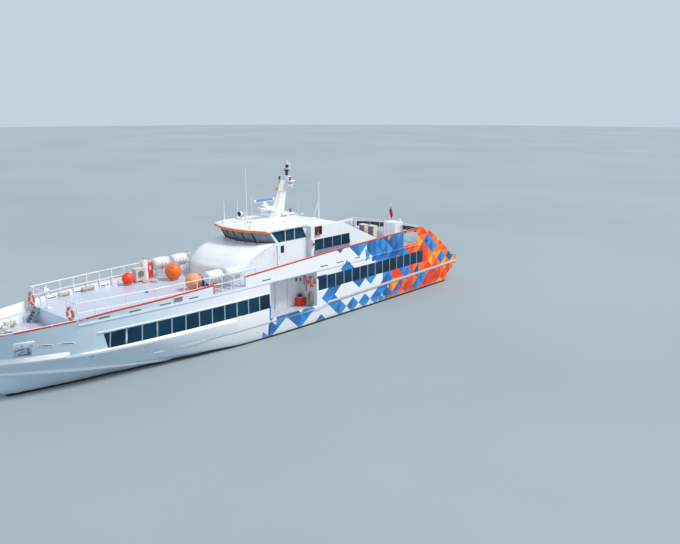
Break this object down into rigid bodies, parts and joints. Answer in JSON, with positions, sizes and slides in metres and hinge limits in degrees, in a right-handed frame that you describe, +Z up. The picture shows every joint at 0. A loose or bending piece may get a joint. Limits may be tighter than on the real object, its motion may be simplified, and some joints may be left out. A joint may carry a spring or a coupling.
{
  "type": "passenger ferry",
  "caption": "Fast passenger ferry afloat: raked bow, window bands, open foredeck with rails, raised bridge with raked mast, screws and rudders that turn, sliding doors.",
  "frame": {"origin": "amidships on the centreline, in the plane of the still water that the ferry floats in", "axes": "+X towards the bow, +Y to port, +Z up"},
  "size_m": [39.58, 7.221, 12.4526],
  "materials": {
    "hull_paint": "gloss white paint on aluminium, dark below the water",
    "white_paint": "gloss white paint on aluminium",
    "deck_paint": "grey non-slip deck paint",
    "cream_paint": "satin cream paint",
    "window_glass": "dark tinted glass",
    "seat_fabric": "woven navy cloth",
    "dark_trim": "matte dark trim",
    "blue_plastic": "gloss blue housing",
    "white_plastic": "gloss white moulding",
    "red_plastic": "gloss red",
    "orange_plastic": "gloss orange, faded by the sun",
    "grey_steel": "dull grey steel",
    "bronze": "cast bronze"
  },
  "bodies": {
    "ship": {"hull": "hull_paint", "bow_bulwark": "white_paint", "forward_wall_port": "white_paint", "forward_wall_starboard": "white_paint", "aft_wall_port": "white_paint", "aft_wall_starboard": "white_paint", "forward_glazing_port": "window_glass", "forward_glazing_starboard": "window_glass", "aft_glazing_port": "window_glass", "aft_glazing_starboard": "window_glass", "lobby_walls": "white_paint", "stern_bulkhead": "white_paint", "forward_seats": "seat_fabric", "aft_seats": "seat_fabric", "lounge_seats": "seat_fabric", "upper_deck": "deck_paint", "forward_side_port": "white_paint", "forward_side_starboard": "white_paint", "aft_side_port": "white_paint", "aft_side_starboard": "white_paint", "cross_bulwark": "white_paint", "foredeck_rails": "white_paint", "deckhouse": "white_paint", "bridge_glazing": "window_glass", "bridge_roof": "white_paint", "bridge_fittings": "dark_trim", "lounge_glazing_port": "window_glass", "lounge_glazing_starboard": "window_glass", "lounge": "white_paint", "lounge_roof_gear": "white_paint", "mast": "white_paint", "rafts_port": "white_plastic", "rafts_starboard": "white_plastic", "deck_boxes_forward": "cream_paint", "air_units_aft": "cream_paint", "fender_red": "red_plastic", "fender_orange": "orange_plastic", "fender_pale": "orange_plastic", "windlass": "grey_steel", "bow_ladder": "grey_steel", "red_chest": "red_plastic"},
    "port_propeller": {"propeller_port": "bronze"},
    "starboard_propeller": {"propeller_starboard": "bronze"},
    "port_rudder": {"rudder_port": "grey_steel"},
    "starboard_rudder": {"rudder_starboard": "grey_steel"},
    "scanner": {"radar_scanner": "blue_plastic"},
    "lamp": {"searchlight": "white_paint"},
    "port_boarding_door": {"boarding_door_port": "white_paint"},
    "starboard_boarding_door": {"boarding_door_starboard": "white_paint"},
    "port_bridge_door": {"bridge_door_port": "white_paint"},
    "starboard_bridge_door": {"bridge_door_starboard": "white_paint"},
    "aft_door": {"stern_door": "white_paint"},
    "hatch": {"bow_hatch_lid": "cream_paint"}
  },
  "joints": [
    {"name": "port_propeller_spin", "type": "hinge", "parent": "ship", "child": "port_propeller", "pos_m": [-16.85, 1.5, -1.2629], "axis": [0.9942, 0, 0.1078], "continuous": true},
    {"name": "starboard_propeller_spin", "type": "hinge", "parent": "ship", "child": "starboard_propeller", "pos_m": [-16.85, -1.5, -1.2629], "axis": [0.9942, 0, 0.1078], "continuous": true},
    {"name": "port_rudder_turn", "type": "hinge", "parent": "ship", "child": "port_rudder", "pos_m": [-17.56, 1.5, -0.9], "axis": [0, 0, 1], "range_deg": [-35, 35]},
    {"name": "starboard_rudder_turn", "type": "hinge", "parent": "ship", "child": "starboard_rudder", "pos_m": [-17.56, -1.5, -0.9], "axis": [0, 0, 1], "range_deg": [-35, 35]},
    {"name": "scanner_spin", "type": "hinge", "parent": "ship", "child": "scanner", "pos_m": [-1.37, 0, 8.2], "axis": [0, 0, 1], "continuous": true},
    {"name": "lamp_turn", "type": "hinge", "parent": "ship", "child": "lamp", "pos_m": [-0.42, -1.21, 7.2], "axis": [0, 0, 1], "range_deg": [-170, 170]},
    {"name": "port_boarding_door_slide", "type": "slide", "parent": "ship", "child": "port_boarding_door", "axis": [1, 0, 0], "range_m": [0, 1.15]},
    {"name": "starboard_boarding_door_slide", "type": "slide", "parent": "ship", "child": "starboard_boarding_door", "axis": [1, 0, 0], "range_m": [0, 1.15]},
    {"name": "port_bridge_door_slide", "type": "slide", "parent": "ship", "child": "port_bridge_door", "axis": [-1, 0, 0], "range_m": [0, 0.78]},
    {"name": "starboard_bridge_door_slide", "type": "slide", "parent": "ship", "child": "starboard_bridge_door", "axis": [-1, 0, 0], "range_m": [0, 0.78]},
    {"name": "aft_door_swing", "type": "hinge", "parent": "ship", "child": "aft_door", "pos_m": [-15.48, 0.404, 2.6], "axis": [0, 0, -1], "range_deg": [0, 95]},
    {"name": "hatch_lift", "type": "hinge", "parent": "ship", "child": "hatch", "pos_m": [17.02, 0, 3.2603], "axis": [0, -1, 0], "range_deg": [0, 100]}
  ],
  "couplings": [
    {"joint": "starboard_rudder_turn", "follows": "port_rudder_turn", "ratio": 1}
  ]
}
